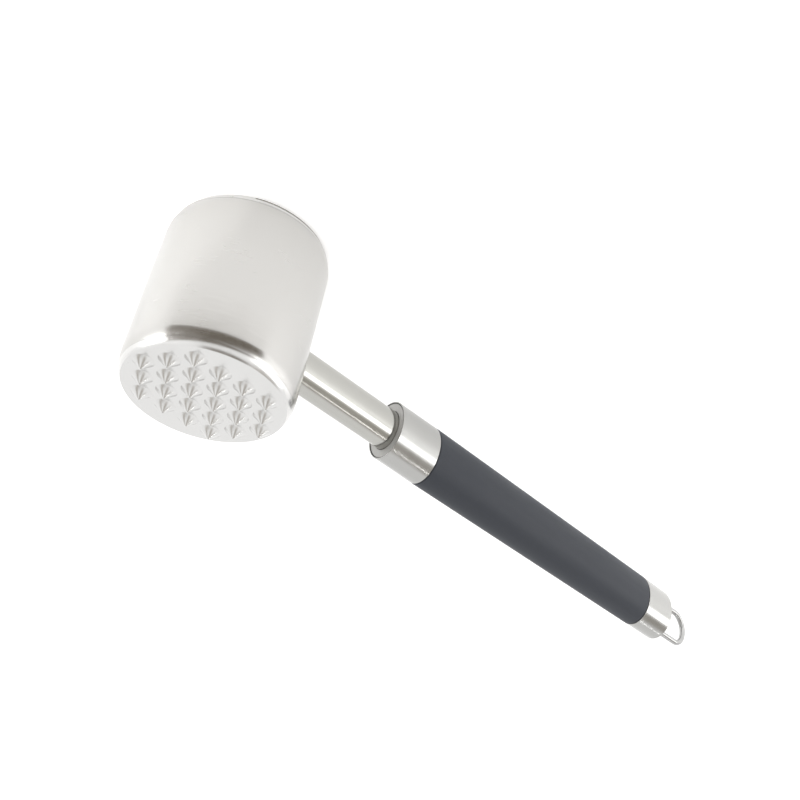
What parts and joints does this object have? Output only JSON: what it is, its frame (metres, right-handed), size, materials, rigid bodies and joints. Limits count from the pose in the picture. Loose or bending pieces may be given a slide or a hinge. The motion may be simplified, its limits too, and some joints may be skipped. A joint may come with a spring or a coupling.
{
  "type": "meat mallet",
  "caption": "Two-faced meat mallet with a flat face, a spiked face, a weighted drum head and an oval soft-grip handle ending in a hanging loop.",
  "frame": {"origin": "centre of the flat striking face, on the head's axis", "axes": "+Z along the head's axis from the flat face to the spiked face; +X from the head along the handle to the hanging loop; +Y completes the right-handed frame"},
  "size_m": [0.2929, 0.055, 0.0626],
  "materials": {
    "polished_steel": "satin stainless steel",
    "inner_steel": "plain machined steel",
    "cast_core": "rough cast",
    "zinc_fastener": "zinc plated",
    "soft_grip": "matte soft-touch",
    "grip_core_plastic": "moulded",
    "seal_rubber": "matte"
  },
  "bodies": {
    "root": {"head_shell": "polished_steel", "flat_face": "polished_steel", "spiked_face": "polished_steel", "head_core": "cast_core", "neck_tube": "polished_steel", "neck_front_plug": "inner_steel", "neck_stud": "zinc_fastener", "neck_rear_plug": "inner_steel", "ferrule": "polished_steel", "ferrule_plate": "polished_steel", "ferrule_seal": "seal_rubber", "grip_core": "grip_core_plastic", "grip_sleeve": "soft_grip", "tie_rod": "zinc_fastener", "tie_washer": "zinc_fastener", "tie_nut": "zinc_fastener", "end_cap": "polished_steel", "loop_anchor": "inner_steel", "hanging_loop": "polished_steel"}
  },
  "joints": []
}
